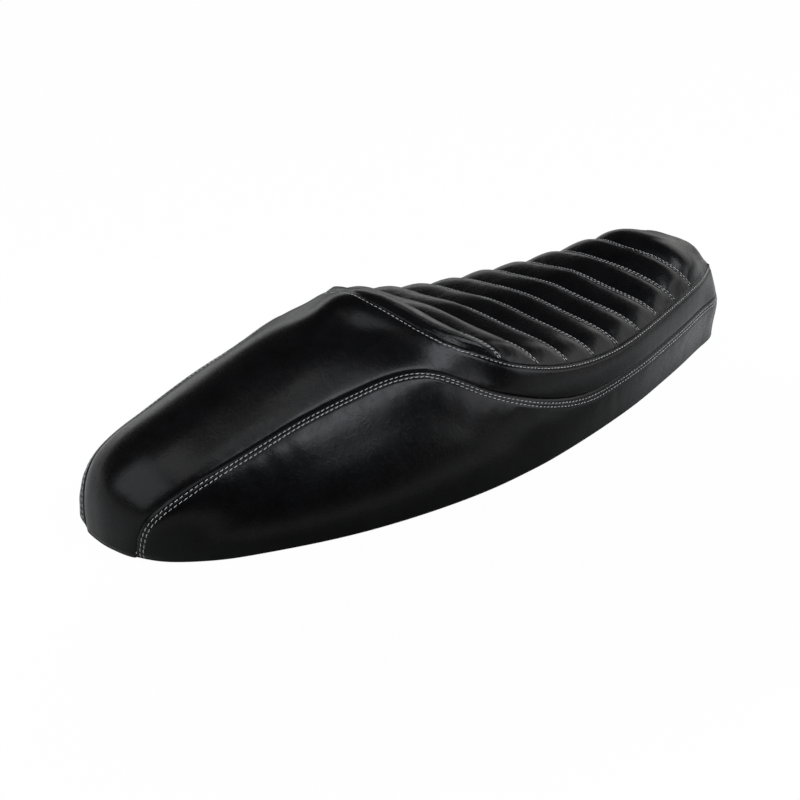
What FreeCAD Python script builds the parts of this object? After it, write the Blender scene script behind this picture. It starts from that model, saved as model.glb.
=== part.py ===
import FreeCAD, Part
import Sketcher
import os

os.makedirs("parts", exist_ok=True)
doc = FreeCAD.newDocument("cafe_racer_seat")
vec = FreeCAD.Vector

# Sizes in millimetres, angles in degrees, one cell each.
sizes = {
    "seat_length": 736.0,
    "seat_width": 280.0,
    "crest_height": 146.0,
    "leather": 2.0,
    "seam_gap": 0.3,
    "skirt_lean": 2.0,
    "hem_depth": 9.0,
    "hem_height": 15.0,
    "quilt": 6.0,
    "groove_count": 9,
    "first_roll": 20.0,
    "groove_pitch": 39.0,
    "groove_bow": 10.0,
    "rib_height": 5.0,
    "rib_fade": 16.0,
    "foam_clearance": 1.2,
    "pan_clearance": 1.0,
    "pan_lift": 2.5,
    "pan_flange": 3.3,
    "deck_top": 22.0,
    "deck_thickness": 4.0,
    "deck_rib": 3.0,
    "deck_rib_depth": 7.0,
    "deck_rib_span": 96.0,
    "buffer_radius": 14.0,
    "buffer_height": 12.0,
    "buffer_taper": 2.5,
    "buffer_stem": 5.0,
    "buffer_pad": 2.0,
    "buffer_side_rear": 62.0,
    "buffer_side_mid": 82.0,
    "buffer_side_front": 42.0,
    "buffer_x_rear": -230.0,
    "buffer_x_mid": 60.0,
    "buffer_x_front": 225.0,
    "hook_width": 46.0,
    "hook_sheet": 3.0,
    "hook_foot": 44.0,
    "hook_drop": 8.0,
    "hook_reach": 34.0,
    "hook_bend": 1.5,
    "hook_x": 262.0,
    "hook_rivet_gap": 24.0,
    "strap_width": 34.0,
    "strap_sheet": 3.0,
    "strap_x": -150.0,
    "stud_spacing": 110.0,
    "strap_margin": 22.0,
    "strap_corner": 12.0,
    "strap_rivet_gap": 64.0,
    "bolt_bore": 4.25,
    "bush_radius": 8.0,
    "bush_height": 9.0,
    "bush_chamfer": 1.0,
    "rivet_shank": 2.4,
    "rivet_head": 4.8,
    "rivet_head_height": 1.6,
    "rivet_play": 0.1,
}
sheet = doc.addObject("Spreadsheet::Sheet", "Sizes")
for row, (name, value) in enumerate(sizes.items(), 1):
    sheet.set("A%d" % row, name)
    sheet.set("B%d" % row, str(value))
    sheet.setAlias("B%d" % row, name)
doc.recompute()


def size(name):
    return float(sheet.get(name))


def bind(thing, **cells):
    for prop, cell in cells.items():
        thing.setExpression(prop.replace("__", "."), cell)


# Guide lines from tail to nose, drawn at full size and fitted to the overall sizes below:
# side seam, shoulder, flank and spine of the top, and the rim under the side seam.
seamRows = [
    (0, 33, 0), (0, 35, 16), (3.5, 39, 31), (14, 46.5, 45), (26, 51.8, 53.5), (40, 55, 60),
    (80, 59.3, 71.4), (140, 64.2, 87), (200, 71, 98.6), (262, 87, 104), (318, 112.5, 77.5),
    (340, 119, 68.5), (364, 123.5, 60), (394, 124.5, 51), (430, 123, 43.8), (480, 117, 42.5),
    (530, 107.5, 43.5), (580, 94.5, 45), (640, 77, 47), (684, 63, 48), (708, 54.5, 47.5),
    (716.5, 48.5, 47.2), (722, 43, 47), (727.3, 25, 47), (729, 0, 47),
]
spineRows = [
    (-6, 0), (-7, 18), (-4.5, 37), (6, 57), (18, 68), (32, 76.5), (73, 91.5), (133, 110.5),
    (193, 127.5), (232, 139), (264, 146), (284, 140.5), (310, 127), (350, 110), (396, 99.5),
    (454, 94), (510, 93.8), (564, 97), (628, 104), (684, 104.5), (710, 90.5), (722, 72.5), (729, 47),
]
shoulderRows = {
    9: (256, 69.5, 115), 10: (318, 93, 106.5), 11: (340, 107.5, 96.5), 12: (364, 113.5, 88),
    13: (394, 116, 79.5), 14: (430, 115, 72.5), 15: (480, 110, 68.2), 16: (530, 101, 69),
    17: (580, 88, 71), 18: (640, 71, 74), 19: (682, 56, 75), 20: (702, 48, 74.3), 21: (712, 40.5, 72.5),
}
flankRows = {
    9: (242, 36, 131), 10: (279, 46, 135.5), 11: (299, 53, 128.5), 12: (325, 56.5, 116),
    18: (632, 35.5, 100.5), 19: (683.5, 28.5, 102.5), 20: (707, 24, 88.5), 21: (719, 20, 72.5),
}
rimRows = [
    (0, 33), (11, 53.5), (30, 71), (72, 94), (136, 117), (200, 131.6), (262, 139), (318, 140),
    (340, 138.8), (364, 137), (394, 133.2), (430, 127.3), (480, 117.8), (530, 106.5), (580, 92.5),
    (640, 74.3), (684, 60), (708, 52), (716, 47.5), (721.5, 43), (728, 25), (729, 0),
]
tailRow, crestRow, noseRow, cornerRow = 3, 10, 21, 22
shoulderShare, flankShare = 0.8, 0.4
padRound = 0.05

reach = seamRows[-1][0] - min(x for x, z in spineRows)
along = size("seat_length") / reach
middle = seamRows[-1][0] - reach / 2
aside = size("seat_width") / 2 / max(w for x, w in rimRows)
upward = size("crest_height") / max(z for x, z in spineRows)


def place(x, w, z):
    return vec((x - middle) * along, w * aside, z * upward)


def guide(points, knots):
    curve = Part.BSplineCurve()
    curve.interpolate(Points=points, Parameters=knots)
    return curve


seamPoints = [place(*p) for p in seamRows]
spinePoints = [place(x, 0, z) for x, z in spineRows]
knots = [0.0]
for a, b in zip(seamPoints, seamPoints[1:]):
    knots.append(knots[-1] + a.distanceToPoint(b))
seam = guide(seamPoints, knots)
tail, crest, nose, corner, front = (knots[i] for i in (tailRow, crestRow, noseRow, cornerRow, -1))


def between(a, b, share):
    return a + (b - a) * share


def acrossPoint(index, share, given):
    s, c = seamPoints[index], spinePoints[index]
    if index in given:
        return place(*given[index])
    if index == cornerRow:
        return seam.value(between(corner, front, 1 - share))
    if index > crestRow:
        m = place(*shoulderRows[index])
        b = share / shoulderShare
        point = between(c, m, (1 - padRound) * b * b + padRound * b ** 4)
        return vec(point.x, m.y * b, point.z)
    point = between(c, s, share * share)
    return vec(point.x, s.y * share, point.z)


topKnots = knots[:cornerRow + 1]
spine = guide(spinePoints, topKnots)
shoulder = guide([acrossPoint(i, shoulderShare, shoulderRows) for i in range(cornerRow + 1)], topKnots)
flank = guide([acrossPoint(i, flankShare, flankRows) for i in range(cornerRow + 1)], topKnots)
rimPoints = [place(x, w, 0) for x, w in rimRows]
rim = guide(rimPoints, knots[tailRow:])


def mirrored(p):
    return vec(p.x, -p.y, p.z)


def topRow(t):
    half = [spine.value(t), flank.value(t), shoulder.value(t), seam.value(t)]
    points = [mirrored(p) for p in half[:0:-1]] + half
    shares = [0.0, flankShare, shoulderShare, 1.0]
    return guide(points, [-a for a in shares[:0:-1]] + shares)


def smooth(x):
    x = min(1.0, max(0.0, x))
    return x * x * (3 - 2 * x)


def top(t, a):
    return topRow(t).value(a)


def skirt(t, v):
    def plain(q):
        s, r = seam.value(q), rim.value(q)
        return vec(between(r.x, s.x, v), between(r.y, s.y, v ** size("skirt_lean")), s.z * v)
    foot = seam.value(tail * v) - plain(tail)
    return plain(t) + foot * smooth(1 - (t - tail) / tail)


def slope(surface, p, q, low, high):
    step = 1e-3
    p0, p1 = max(p - step, low[0]), min(p + step, high[0])
    q0, q1 = max(q - step, low[1]), min(q + step, high[1])
    along_p = surface(p1, q) - surface(p0, q)
    along_q = surface(p, q1) - surface(p, q0)
    return along_p.cross(along_q).normalize()


def topNormal(t, a):
    return slope(top, t, a, (0, -1), (corner, 1))


def skirtNormal(t, v):
    return slope(skirt, t, v, (tail, 0), (front, 1)) * -1.0


# Skins are made from rows of poles, so that neighbours with the same edge poles share that edge.
def clamped(count, degree):
    spans = count - degree
    return list(range(spans + 1)), [degree + 1] + [1] * (spans - 1) + [degree + 1]


def skin(poles):
    degrees = [min(3, len(poles) - 1), min(3, len(poles[0]) - 1)]
    uKnots, uMults = clamped(len(poles), degrees[0])
    vKnots, vMults = clamped(len(poles[0]), degrees[1])
    surface = Part.BSplineSurface()
    surface.buildFromPolesMultsKnots(
        poles, uMults, vMults, uKnots, vKnots, False, False, degrees[0], degrees[1])
    return surface


def closed(faces):
    shell = Part.makeShell(faces)
    shell.sewShape()
    solid = Part.makeSolid(Part.makeShell(shell.Faces))
    if solid.Volume < 0:
        solid.reverse()
    return solid


def sheetSolid(outer, inner):
    edges = [(outer[0], inner[0]), (outer[-1], inner[-1])]
    edges.append(([r[0] for r in outer], [r[0] for r in inner]))
    edges.append(([r[-1] for r in outer], [r[-1] for r in inner]))
    grids = [outer, inner] + [[list(a), list(b)] for a, b in edges]
    return closed([skin(g).toShape() for g in grids])


def feature(label, shape):
    thing = doc.addObject("Part::Feature", label)
    thing.Shape = shape
    return thing


def subdivided(stops, pitch):
    out = [stops[0]]
    for a, b in zip(stops, stops[1:]):
        count = max(1, round((b - a) / pitch))
        out += [between(a, b, (k + 1) / count) for k in range(count)]
    return out


leather, gap = size("leather"), size("seam_gap")
rowPitch = 16.0
shares = [0.0, 0.2, 0.4, 0.6, 0.8, 0.9, 1.0]
shares = [-a for a in shares[:0:-1]] + shares
levels = [0.1, 0.25, 0.42, 0.6, 0.78, 0.91, 1.0]


def frontArc(share):
    return between(corner, front, 1 - abs(share))


def planNormal(tangent):
    return vec(-tangent.y, tangent.x, 0).normalize()


def rimNormal(t):
    return planNormal(rim.tangent(t)[0])


def hem(wall, normal, inside):
    depth, height, roll = size("hem_depth"), size("hem_height"), 0.6 * leather
    legs = [(depth, height), (depth, 0.55 * height), (depth, 2.2 * leather)]
    turn = [(depth, roll), (depth / 2, -roll / 2), (0, roll)]
    if inside:
        legs = [(d - leather, z) for d, z in legs]
        turn = [(depth - leather, leather + roll / 2), (depth / 2, leather - roll / 4)]
        turn.append((leather, leather + roll / 2))
    points = []
    for depthIn, z in legs + turn:
        p = wall(max(z, 0)) - normal * depthIn
        points.append(vec(p.x, p.y, z))
    return points


def seamMitre(t):
    share = 1.0 if t <= corner else 1 - (t - corner) / (front - corner)
    up = topNormal(min(t, corner - 1.0), share)
    out = skirtNormal(max(t, tail), min(1.0, t / tail))
    both = (up + out).normalize()
    return both * min(1.5, 1 / both.dot(out))


# Rear panel: over the tail and hump, and forward as the collar round the insert.
topStations = [tail * v for v in levels]
topStations += [between(tail, knots[tailRow + 1], k / 3) for k in (1, 2)]
topStations += subdivided(topKnots[tailRow + 1:-1], rowPitch)
topStations += [between(nose, corner, k / 4) for k in (1, 2, 3, 4)]
hemCount = len(hem(lambda z: vec(), vec(1, 0, 0), False))


def tailWall(share):
    def wall(z):
        return top(z * knots[1] / seamPoints[1].z, share)
    return wall


def tailNormal(share):
    if abs(share) == 1:
        n = rimNormal(tail)
        return n if share > 0 else mirrored(n)
    step = 0.01
    return planNormal(top(0, share + step) - top(0, share - step))


topOuter = [list(r) for r in zip(*[hem(tailWall(a), tailNormal(a), False) for a in shares])]
topInner = [list(r) for r in zip(*[hem(tailWall(a), tailNormal(a), True) for a in shares])]
for t in topStations:
    row = topRow(t)
    outerRow, innerRow = [], []
    for a in shares:
        p = row.value(a)
        edge = t if abs(a) == 1 else None
        if t == topStations[-1]:
            edge = frontArc(a)
        if edge is None:
            n = topNormal(t, a)
        else:
            p = seam.value(edge)
            n = seamMitre(edge)
            if a < 0:
                p, n = mirrored(p), mirrored(n)
        outerRow.append(p)
        innerRow.append(p - n * leather)
    topOuter.append(outerRow)
    topInner.append(innerRow)
topSkin = skin(topOuter)


def rowOf(t):
    i = 0
    while i < len(topStations) - 2 and topStations[i + 1] < t:
        i += 1
    share = (t - topStations[i]) / (topStations[i + 1] - topStations[i])
    return hemCount + i + share - 1


padLeft, padRight = shares.index(-shoulderShare) - 1, shares.index(shoulderShare) - 1
bed = topSkin.copy()
bed.segment(rowOf(crest), rowOf(nose), padLeft, padRight)
bed.translate(vec(0, 0, -size("quilt") - gap))
pocket = bed.toShape().extrude(vec(0, 0, size("crest_height")))
feature("rear_panel", sheetSolid(topOuter, topInner).cut(pocket))

# Side skirts: from the side seam down to the rim and round it into the hem.
skirtStations = [tail] + [t for t in topStations if t > tail]
skirtStations += [frontArc(a) for a in shares[::-1] if 0 <= a < 1]
skirtOuter, skirtInner = [], []
for t in skirtStations:
    height = seam.value(t).z
    n = rimNormal(t)
    wall = lambda z, t=t, height=height: skirt(t, z / height)
    outerRow, innerRow = hem(wall, n, False), hem(wall, n, True)
    for v in levels:
        p = skirt(t, v)
        onSeam = t == tail or v == 1
        out = seamMitre(tail * v if t == tail else t) if onSeam else skirtNormal(t, v)
        outerRow.append(p)
        innerRow.append(p - out * leather)
    relief = gap * (1 + 6 * smooth(1 - (t - tail) / tail))
    down = (outerRow[-2] - outerRow[-1]).normalize() * relief
    outerRow[-1] += down
    innerRow[-1] += down
    skirtOuter.append(outerRow)
    skirtInner.append(innerRow)
for grid in (skirtOuter, skirtInner):
    grid[0] = [p + (q - p).normalize() * 6 * gap for p, q in zip(*grid[:2])]
    grid[-1] = [vec(p.x, gap, p.z) for p in grid[-1]]
feature("left_skirt", sheetSolid(skirtOuter, skirtInner))
feature("right_skirt", sheetSolid(
    [[mirrored(p) for p in r] for r in skirtOuter], [[mirrored(p) for p in r] for r in skirtInner]))


# Ribbed insert: stitched across in channels, each a soft roll that flattens towards the edge seam.
bends = (0.0, 0.09, 0.22, 0.4, 0.6, 0.78, 0.91)
swell = (-0.15, 0.5, 0.85, 1.0, 1.0, 0.85, 0.5)
rearSwell, noseSwell = (0.0, 0.0, 0.0, 0.2, 0.6, 0.85, 0.5), (-0.15, 0.5, 0.85, 0.5, 0.1, 0.0, 0.0)
padColumns = [padLeft + c for c in (0.0, 0.25, 0.55, 0.9, 1.3, 1.8, 2.5, 3.2, 4.0)]
padColumns += [padLeft + padRight - c for c in padColumns[-2::-1]]
rowEnds = (rowOf(crest), rowOf(nose))


def rollColumn(v):
    share = 2 * (v - padColumns[0]) / (padColumns[-1] - padColumns[0]) - 1
    ends = [topSkin.value(u, v).x for u in rowEnds]
    start = shoulder.value(crest).x + size("first_roll")
    stops = [ends[0]]
    for k in range(int(size("groove_count"))):
        level = start + k * size("groove_pitch")
        stops.append(level - size("groove_bow") * (1 - share * share))
    stops.append(ends[1])
    return [between(a, b, s) for a, b in zip(stops, stops[1:]) for s in bends] + [ends[1]]


def rowAt(x, v):
    low, high = rowEnds
    while high - low > 1e-4:
        mid = (low + high) / 2
        low, high = (mid, high) if topSkin.value(mid, v).x < x else (low, mid)
    return (low + high) / 2


swells = list(rearSwell) + list(swell) * (int(size("groove_count")) - 1) + list(noseSwell) + [0.0]
rows = list(zip(*[[rowAt(x, v) for x in rollColumn(v)] for v in padColumns]))


def trimmed(line):
    first = line[0] + (line[1] - line[0]).normalize() * 4 * gap
    return [first] + list(line[1:-1]) + [line[-1] + (line[-2] - line[-1]).normalize() * 4 * gap]


base = [trimmed([topSkin.value(u, v) for u, v in zip(row, padColumns)]) for row in rows]
base = list(zip(*[trimmed(column) for column in zip(*base)]))
padOuter, padInner = [], []
for line, row, height in zip(base, rows, swells):
    outerRow = []
    for p, u, v in zip(line, row, padColumns):
        n = topSkin.normal(u, v)
        n = n if n.z > 0 else n * -1.0
        fromEdge = min(p.distanceToPoint(line[0]), p.distanceToPoint(line[-1]))
        outerRow.append(p + n * (height * size("rib_height") * smooth(fromEdge / size("rib_fade"))))
    padOuter.append(outerRow)
    padInner.append([p - vec(0, 0, size("quilt")) for p in line])
feature("ribbed_insert", sheetSolid(padOuter, padInner))


# Foam core: sections across the seat, inside the cover and on the pan.
def reachX(curve, x, low, high):
    while high - low > 0.01:
        mid = (low + high) / 2
        low, high = (mid, high) if curve(mid).x < x else (low, mid)
    return low


def inward(p, n):
    depth = leather + size("foam_clearance")
    flat = vec(0, n.y, n.z)
    return p - flat * min(depth / (flat.Length ** 2), 2 * depth)


def foamSection(x):
    half = []
    for v in (0.0, 0.4, 0.6, 0.8):
        def height(t, v=v):
            return between(size("deck_top") / seam.value(t).z, 1.0, v)
        t = reachX(lambda q: skirt(q, height(q)), x, tail, front)
        p = skirt(t, height(t))
        half.append(inward(p, skirtNormal(t, height(t))))
    half[0].z = size("deck_top")
    for a in shares[::-1]:
        if a >= 0:
            t = reachX(lambda q: top(q, a), x, 0.5 * tail, corner)
            half.append(inward(top(t, a), topNormal(t, a)))
    points = half + [mirrored(p) for p in half[-2::-1]]
    return [vec(x, p.y, p.z) for p in points]


foamEnds = (seamPoints[tailRow].x + 2 * size("hem_depth"), seamPoints[noseRow].x - 2 * size("hem_depth"))
foamCount = 27
foamRows = [foamSection(between(*foamEnds, k / (foamCount - 1))) for k in range(foamCount)]
foamSkin = skin(foamRows)
foamFaces = [foamSkin.toShape(), skin([[r[0] for r in foamRows], [r[-1] for r in foamRows]]).toShape()]
for iso, row in ((foamSkin.bounds()[0], foamRows[0]), (foamSkin.bounds()[1], foamRows[-1])):
    arch = foamSkin.uIso(iso).toShape()
    foamFaces.append(Part.Face(Part.Wire([arch, Part.makeLine(row[-1], row[0])])))
foamPocket = pocket.translated(vec(0, 0, -2 * size("foam_clearance")))
feature("seat_foam", closed(foamFaces).cut(foamPocket))


# Seat pan: a moulded tray that the cover wraps round, with a deck for the foam.
def outline(z, inset):
    half = [tailWall(a)(z) for a in shares if 0 <= a < 1]
    half += [skirt(t, z / seam.value(t).z) for t in skirtStations]
    ring = half + [mirrored(p) for p in half[-2:0:-1]]
    poles = []
    for i, p in enumerate(ring):
        outward = planNormal(ring[(i + 1) % len(ring)] - ring[i - 1])
        poles.append(vec(p.x, p.y, z) - outward * inset)
    curve = Part.BSplineCurve()
    curve.buildFromPolesMultsKnots(poles, [1] * (len(poles) + 1), list(range(len(poles) + 1)), True, 3)
    return Part.Wire([curve.toShape()])


def tray(label, levelsAndInsets):
    loft = doc.addObject("Part::Loft", label)
    wires = [outline(z, inset) for z, inset in levelsAndInsets]
    loft.Sections = [feature("%s_outline_%d" % (label, i), w) for i, w in enumerate(wires)]
    loft.Solid = True
    loft.Ruled = True
    return loft


def boolean(kind, label, base, *tools):
    made = doc.addObject(kind, label)
    if kind == "Part::MultiFuse":
        made.Shapes = [base] + list(tools)
    else:
        made.Base = base
        made.Tool = tools[0]
    return made


def box(label, x, y, z, **cells):
    made = doc.addObject("Part::Box", label)
    bind(made, **cells)
    bind(made, Placement__Base__x=x, Placement__Base__y=y, Placement__Base__z=z)
    return made


def cylinder(label, x, y, z, **cells):
    made = doc.addObject("Part::Cylinder", label)
    bind(made, **cells)
    bind(made, Placement__Base__x=x, Placement__Base__y=y, Placement__Base__z=z)
    return made


wallInset = leather + size("pan_clearance")
innerInset = wallInset + size("pan_flange")
deckUnder = size("deck_top") - size("deck_thickness")
panFoot = leather + size("pan_lift")
panBlock = tray("pan_block", [(panFoot, wallInset), (size("deck_top"), wallInset)])
panHollow = tray("pan_hollow", [(0, innerInset), (deckUnder, innerInset)])
panTray = boolean("Part::Cut", "pan_tray", panBlock, panHollow)
under = "Sizes.deck_top - Sizes.deck_thickness"
ribCells = dict(Width="Sizes.deck_rib_span", Height="Sizes.deck_rib_depth", Length="Sizes.deck_rib")
ribZ = under + " - Sizes.deck_rib_depth"
ribs = []
for i, share in enumerate((0.25, 0.5, 0.75)):
    x = "(Sizes.strap_x * %s + Sizes.buffer_x_front * %s) - Sizes.deck_rib / 2" % (1 - share, share)
    ribs.append(box("cross_rib_%d" % i, x, "-Sizes.deck_rib_span / 2", ribZ, **ribCells))
for side in (-1, 1):
    edge = "%d * (Sizes.deck_rib_span - Sizes.deck_rib) / 2 - Sizes.deck_rib / 2" % side
    cells = dict(Length="(Sizes.buffer_x_front - Sizes.strap_x) / 2", Width="Sizes.deck_rib")
    x = "Sizes.strap_x + (Sizes.buffer_x_front - Sizes.strap_x) / 4"
    ribs.append(box("long_rib_%d" % side, x, edge, ribZ, Height="Sizes.deck_rib_depth", **cells))
panBody = boolean("Part::MultiFuse", "pan_body", panTray, *ribs)

bufferPlaces = {}
for row in ("rear", "mid", "front"):
    for name, side in (("left", ""), ("right", "-")):
        bufferPlaces["%s_%s_buffer" % (row, name)] = (
            "Sizes.buffer_x_" + row, side + "Sizes.buffer_side_" + row)
hookRivets = [("Sizes.hook_x", "%sSizes.hook_rivet_gap / 2" % s) for s in ("", "-")]
strapRivets = [("Sizes.strap_x", "%sSizes.strap_rivet_gap / 2" % s) for s in ("", "-")]
studs = [("Sizes.strap_x", "%sSizes.stud_spacing / 2" % s) for s in ("", "-")]
deckHoles = []
for i, (x, y) in enumerate(bufferPlaces.values()):
    deckHoles.append(cylinder("buffer_hole_%d" % i, x, y, under, Height="Sizes.deck_thickness",
                              Radius="Sizes.buffer_stem + Sizes.rivet_play"))
for i, (x, y) in enumerate(hookRivets + strapRivets):
    deckHoles.append(cylinder("rivet_hole_%d" % i, x, y, under, Height="Sizes.deck_thickness",
                              Radius="Sizes.rivet_shank + Sizes.rivet_play"))
for i, (x, y) in enumerate(studs):
    deckHoles.append(cylinder("bolt_hole_%d" % i, x, y, under, Height="Sizes.deck_thickness",
                              Radius="Sizes.bolt_bore"))
panDrill = boolean("Part::MultiFuse", "pan_drill", *deckHoles)
boolean("Part::Cut", "seat_pan", panBody, panDrill)


# Hardware: turned or folded from a profile, each of its corners bound to the sheet.
def sketchOn(body, role, label):
    sketch = body.newObject("Sketcher::SketchObject", label)
    plane = [f for f in body.Origin.OriginFeatures if f.Role == role][0]
    sketch.AttachmentSupport = [(plane, "")]
    sketch.MapMode = "FlatFace"
    return sketch


def turned(label, x, y, z, corners):
    body = doc.addObject("PartDesign::Body", label)
    sketch = sketchOn(body, "XZ_Plane", label + "_profile")
    drawCorners(sketch, corners)
    spin = body.newObject("PartDesign::Revolution", label + "_turned")
    spin.Profile = sketch
    spin.ReferenceAxis = (sketch, ["V_Axis"])
    spin.Angle = 360.0
    body.Tip = spin
    bind(body, Placement__Base__x=x, Placement__Base__y=y, Placement__Base__z=z)
    return body


def drawCorners(sketch, corners):
    places = [tuple(evaluated(c) for c in pair) for pair in corners]
    for i, (x, y) in enumerate(places):
        nx, ny = places[(i + 1) % len(places)]
        sketch.addGeometry(Part.LineSegment(vec(x, y, 0), vec(nx, ny, 0)), False)
    for i in range(len(corners)):
        sketch.addConstraint(Sketcher.Constraint("Coincident", i, 2, (i + 1) % len(corners), 1))
    for i, (pair, values) in enumerate(zip(corners, places)):
        for kind, cell, value in zip(("DistanceX", "DistanceY"), pair, values):
            index = sketch.addConstraint(Sketcher.Constraint(kind, -1, 1, i, 1, value))
            sketch.setExpression("Constraints[%d]" % index, cell)


def evaluated(cell):
    return float(sheet.evalExpression(cell))


def padded(label, role, corners, thickness, holes, spot):
    body = doc.addObject("PartDesign::Body", label)
    sketch = sketchOn(body, role, label + "_outline")
    drawCorners(sketch, corners)
    pad = body.newObject("PartDesign::Pad", label + "_sheet")
    pad.Profile = sketch
    pad.Midplane = True
    bind(pad, Length=thickness)
    doc.recompute()
    drill = sketchOn(body, "XY_Plane", label + "_holes")
    for i, (x, y, radius) in enumerate(holes):
        values = [evaluated(c) for c in (x, y, radius)]
        drill.addGeometry(Part.Circle(vec(values[0], values[1], 0), vec(0, 0, 1), values[2]), False)
        for kind, cell, value in zip(("DistanceX", "DistanceY"), (x, y), values):
            index = drill.addConstraint(Sketcher.Constraint(kind, -1, 1, i, 3, value))
            drill.setExpression("Constraints[%d]" % index, cell)
        index = drill.addConstraint(Sketcher.Constraint("Radius", i, values[2]))
        drill.setExpression("Constraints[%d]" % index, radius)
    cut = body.newObject("PartDesign::Pocket", label + "_drilled")
    cut.Profile = drill
    cut.Type = "ThroughAll"
    cut.Midplane = True
    body.Tip = cut
    bind(body, Placement__Base__x=spot[0], Placement__Base__y=spot[1], Placement__Base__z=spot[2])
    return body


def softened(body, radii):
    doc.recompute()
    base = body.Tip
    for cell, picks in radii:
        spots = [vec(*[evaluated(c) for c in pick]) for pick in picks]
        names = []
        for i, edge in enumerate(base.Shape.Edges, 1):
            if any(edge.distToShape(Part.Vertex(s))[0] < 0.01 and edge.Curve.TypeId == "Part::GeomLine"
                   and edge.CenterOfMass.distanceToPoint(s) < 0.01 for s in spots):
                names.append("Edge%d" % i)
        fillet = body.newObject("PartDesign::Fillet", body.Label + "_bend")
        fillet.Base = (base, names)
        bind(fillet, Radius=cell)
        body.Tip = fillet
        doc.recompute()
        base = fillet
    return body


half = "Sizes.hook_foot / 2"
sheetIn = "-Sizes.hook_sheet"
drop = "-Sizes.hook_drop"
tip = "Sizes.hook_foot / 2 + Sizes.hook_reach"
kneeIn = "Sizes.hook_foot / 2 - Sizes.hook_sheet"
low = "-Sizes.hook_drop - Sizes.hook_sheet"
rivetBore = "Sizes.rivet_shank + Sizes.rivet_play"
hook = padded(
    "front_hook", "XZ_Plane",
    [("-Sizes.hook_foot / 2", "0 mm"), (half, "0 mm"), (half, drop), (tip, drop), (tip, low),
     (kneeIn, low), (kneeIn, sheetIn), ("-Sizes.hook_foot / 2", sheetIn)],
    "Sizes.hook_width",
    [("0 mm", "%sSizes.hook_rivet_gap / 2" % s, rivetBore) for s in ("", "-")],
    ("Sizes.hook_x", "0 mm", under))
softened(hook, [
    ("Sizes.hook_bend", [(kneeIn, "0 mm", sheetIn), (half, "0 mm", drop)]),
    ("Sizes.hook_bend + Sizes.hook_sheet", [(half, "0 mm", "0 mm"), (kneeIn, "0 mm", low)])])

strapEnd = "(Sizes.stud_spacing / 2 + Sizes.strap_margin)"
strapSide = "Sizes.strap_width / 2"
strap = padded(
    "rear_strap", "XY_Plane",
    [("-" + strapSide, "-" + strapEnd), (strapSide, "-" + strapEnd), (strapSide, strapEnd),
     ("-" + strapSide, strapEnd)],
    "Sizes.strap_sheet",
    [("0 mm", "%sSizes.strap_rivet_gap / 2" % s, rivetBore) for s in ("", "-")]
    + [("0 mm", "%sSizes.stud_spacing / 2" % s, "Sizes.bolt_bore") for s in ("", "-")],
    ("Sizes.strap_x", "0 mm", under + " - Sizes.strap_sheet / 2"))
softened(strap, [("Sizes.strap_corner", [
    (a + strapSide, b + strapEnd, "0 mm") for a in ("", "-") for b in ("", "-")])])

for name, (x, y) in zip(("left_weld_bush", "right_weld_bush"), studs):
    turned(name, x, y, under + " - Sizes.strap_sheet", [
        ("Sizes.bolt_bore", "0 mm"), ("Sizes.bush_radius", "0 mm"),
        ("Sizes.bush_radius", "-Sizes.bush_height + Sizes.bush_chamfer"),
        ("Sizes.bush_radius - Sizes.bush_chamfer", "-Sizes.bush_height"),
        ("Sizes.bolt_bore", "-Sizes.bush_height")])
for name, (x, y) in bufferPlaces.items():
    turned(name, x, y, under, [
        ("0 mm", "-Sizes.buffer_height"),
        ("Sizes.buffer_radius - Sizes.buffer_taper", "-Sizes.buffer_height"),
        ("Sizes.buffer_radius", "-Sizes.buffer_pad"), ("Sizes.buffer_radius", "0 mm"),
        ("Sizes.buffer_stem", "0 mm"), ("Sizes.buffer_stem", "Sizes.deck_thickness"),
        ("0 mm", "Sizes.deck_thickness")])


def rivets(label, places, sheetCell):
    bodies = []
    for i, (x, y) in enumerate(places):
        bodies.append(turned("%s_%d" % (label, i), x, y, under + " - " + sheetCell, [
            ("0 mm", "-Sizes.rivet_head_height"),
            ("Sizes.rivet_head / 2", "-Sizes.rivet_head_height"),
            ("Sizes.rivet_head", "0 mm"), ("Sizes.rivet_shank", "0 mm"),
            ("Sizes.rivet_shank", "Sizes.deck_thickness + " + sheetCell),
            ("0 mm", "Sizes.deck_thickness + " + sheetCell)]))
    group = doc.addObject("Part::Compound", label)
    group.Links = bodies


rivets("hook_rivets", hookRivets, "Sizes.hook_sheet")
rivets("strap_rivets", strapRivets, "Sizes.strap_sheet")

doc.recompute()
pieces = [
    "rear_panel", "ribbed_insert", "left_skirt", "right_skirt", "seat_foam", "seat_pan",
    "front_hook", "hook_rivets", "rear_strap", "strap_rivets", "left_weld_bush", "right_weld_bush",
] + list(bufferPlaces)
for thing in doc.Objects:
    if "Invalid" in thing.State or "Error" in thing.State:
        raise RuntimeError("%s is %s" % (thing.Label, thing.State))
for name in pieces:
    shape = doc.getObject(name).Shape
    if not shape.isValid() or not shape.Solids:
        raise RuntimeError(name + " has no valid solid")
    print("%-20s %2d solids %10.0f mm3" % (name, len(shape.Solids), shape.Volume))
    shape.exportStep("parts/%s.step" % name)
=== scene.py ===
import bpy
import math
import numpy as np
from mathutils import Matrix, Vector, noise
from mathutils.kdtree import KDTree


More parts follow.
